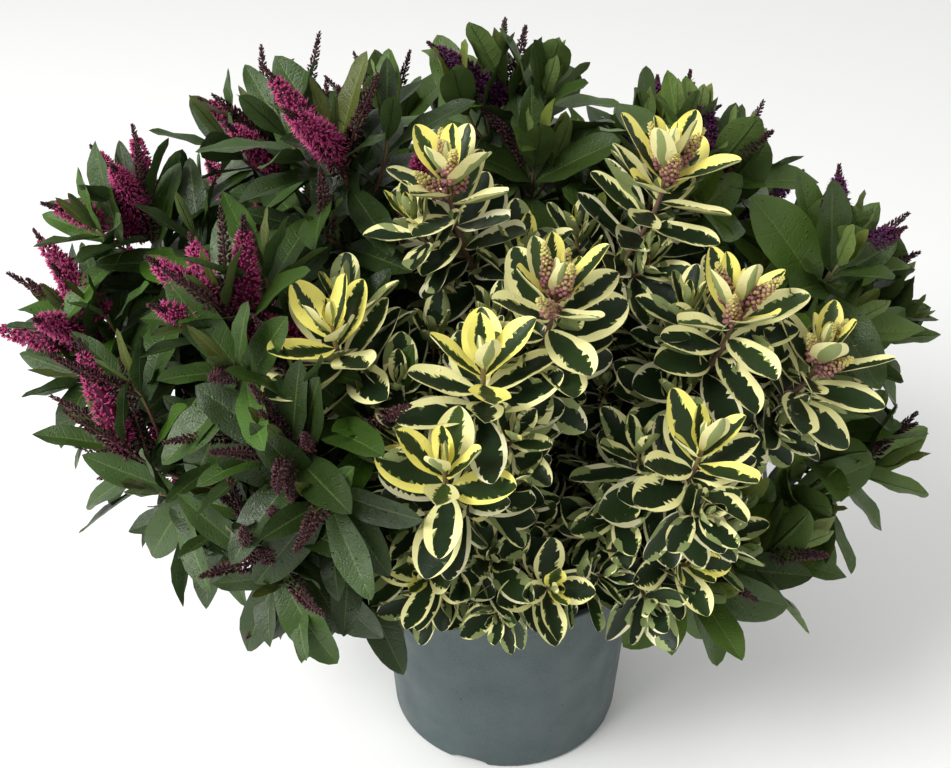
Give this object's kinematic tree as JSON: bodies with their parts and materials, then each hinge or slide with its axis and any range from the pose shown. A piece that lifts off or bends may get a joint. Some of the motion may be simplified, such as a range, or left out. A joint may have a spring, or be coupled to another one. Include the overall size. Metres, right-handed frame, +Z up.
{
  "type": "hebe shrub",
  "caption": "Bushy flowering hebe in a round plastic nursery pot, with narrow, broad and cream-edged leaves and short flower spikes; stands on the pot's flat underside.",
  "frame": {"origin": "centre of the pot's flat underside", "axes": "+Z up, -Y towards the front of the plant, +X to its right"},
  "size_m": [0.583, 0.5013, 0.5205],
  "materials": {
    "pot": "matte blue-grey plastic with fine specks of soil",
    "soil": "dark, granular potting soil",
    "bark": "fine, ringed grey-brown bark",
    "foliage_narrow": "glossy dark green leaves, magenta flowers and maroon buds",
    "foliage_broad": "glossy dark green leaves and purple flowers",
    "foliage_variegated": "satin grey-green leaves with cream margins and mauve buds"
  },
  "bodies": {
    "root": {"bough_broad_back": "bark", "bough_broad_back_right": "bark", "bough_broad_low_right": "bark", "bough_broad_right": "bark", "bough_broad_top": "bark", "bough_broad_upper_back": "bark", "bough_narrow_back_left": "bark", "bough_narrow_front_left": "bark", "bough_narrow_left": "bark", "bough_narrow_low_left": "bark", "bough_narrow_skirt": "bark", "bough_narrow_top": "bark", "bough_variegated_front": "bark", "bough_variegated_low_right": "bark", "bough_variegated_right": "bark", "bough_variegated_skirt": "bark", "bough_variegated_top": "bark", "bough_variegated_upper": "bark", "foliage_broad_back_low": "foliage_broad", "foliage_broad_back_outer": "foliage_broad", "foliage_broad_back_right_low": "foliage_broad", "foliage_broad_back_right_outer": "foliage_broad", "foliage_broad_low_right_front": "foliage_broad", "foliage_broad_low_right_side": "foliage_broad", "foliage_broad_right_inner": "foliage_broad", "foliage_broad_right_outer": "foliage_broad", "foliage_broad_top_middle": "foliage_broad", "foliage_broad_top_right": "foliage_broad", "foliage_broad_upper_back_left": "foliage_broad", "foliage_broad_upper_back_right": "foliage_broad", "foliage_narrow_back_left_low": "foliage_narrow", "foliage_narrow_back_left_outer": "foliage_narrow", "foliage_narrow_front_left_lower": "foliage_narrow", "foliage_narrow_front_left_upper": "foliage_narrow", "foliage_narrow_left_inner": "foliage_narrow", "foliage_narrow_left_outer": "foliage_narrow", "foliage_narrow_low_left_low": "foliage_narrow", "foliage_narrow_low_left_outer": "foliage_narrow", "foliage_narrow_skirt_front": "foliage_narrow", "foliage_narrow_skirt_side": "foliage_narrow", "foliage_narrow_top_inner": "foliage_narrow", "foliage_narrow_top_outer": "foliage_narrow", "foliage_variegated_front_lower": "foliage_variegated", "foliage_variegated_front_upper": "foliage_variegated", "foliage_variegated_low_right_low": "foliage_variegated", "foliage_variegated_low_right_upper": "foliage_variegated", "foliage_variegated_right_inner": "foliage_variegated", "foliage_variegated_right_outer": "foliage_variegated", "foliage_variegated_skirt_left": "foliage_variegated", "foliage_variegated_skirt_middle": "foliage_variegated", "foliage_variegated_top_left": "foliage_variegated", "foliage_variegated_top_right": "foliage_variegated", "foliage_variegated_upper_left": "foliage_variegated", "foliage_variegated_upper_middle": "foliage_variegated", "pot": "pot", "potting_soil": "soil", "stem_broad": "bark", "stem_narrow": "bark", "stem_variegated": "bark"}
  },
  "joints": []
}
